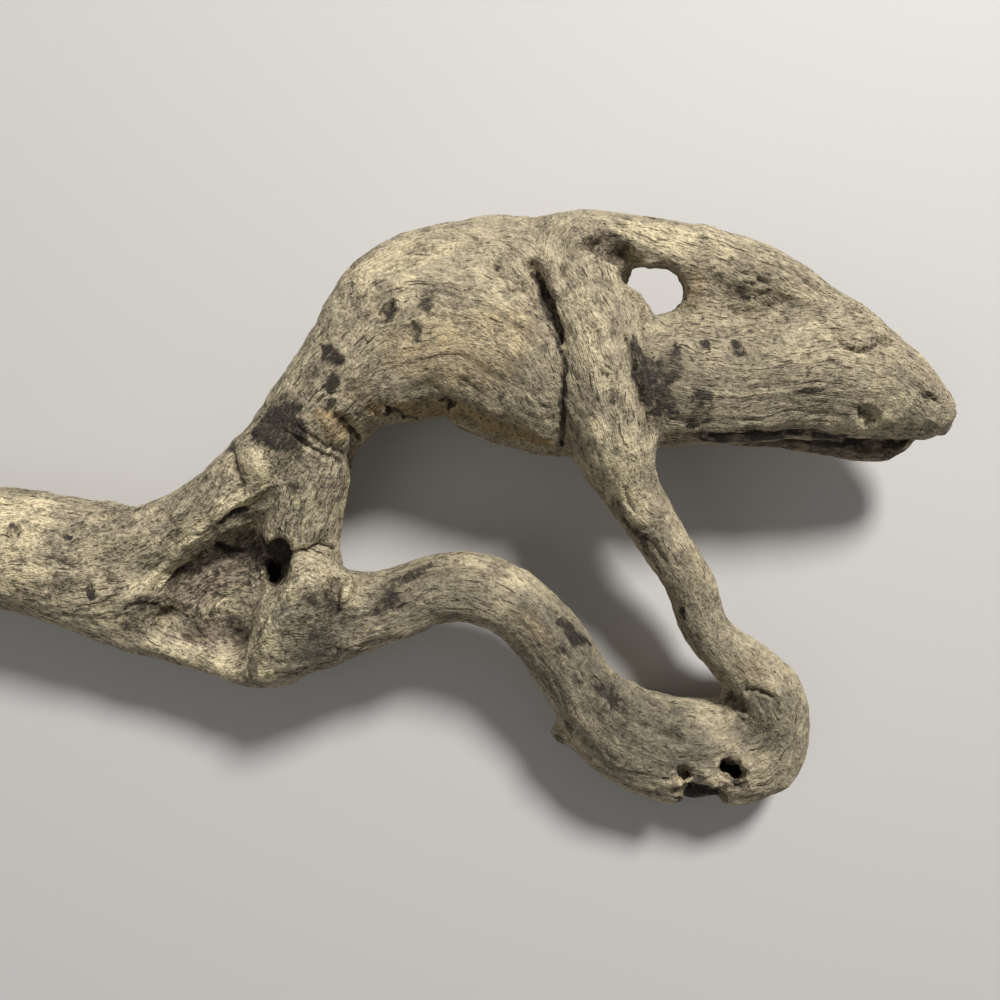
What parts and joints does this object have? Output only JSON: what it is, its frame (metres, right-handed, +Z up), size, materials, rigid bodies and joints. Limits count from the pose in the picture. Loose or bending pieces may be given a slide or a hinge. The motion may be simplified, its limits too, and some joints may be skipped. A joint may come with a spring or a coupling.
{
  "type": "driftwood",
  "caption": "Weathered driftwood piece with an arched upper branch, a pierced blunt head, a thin leg and a lower limb that closes a loop at a hollow foot.",
  "frame": {"origin": "on the surface that the wood lies on, below the middle of its outline", "axes": "+Z up, away from that surface; +X along the wood from the round trunk end to the head; +Y towards the arched branch"},
  "size_m": [0.5456, 0.2978, 0.0873],
  "materials": {
    "weathered_wood": "weathered, matt, dry"
  },
  "bodies": {
    "root": {"driftwood": "weathered_wood"}
  },
  "joints": []
}
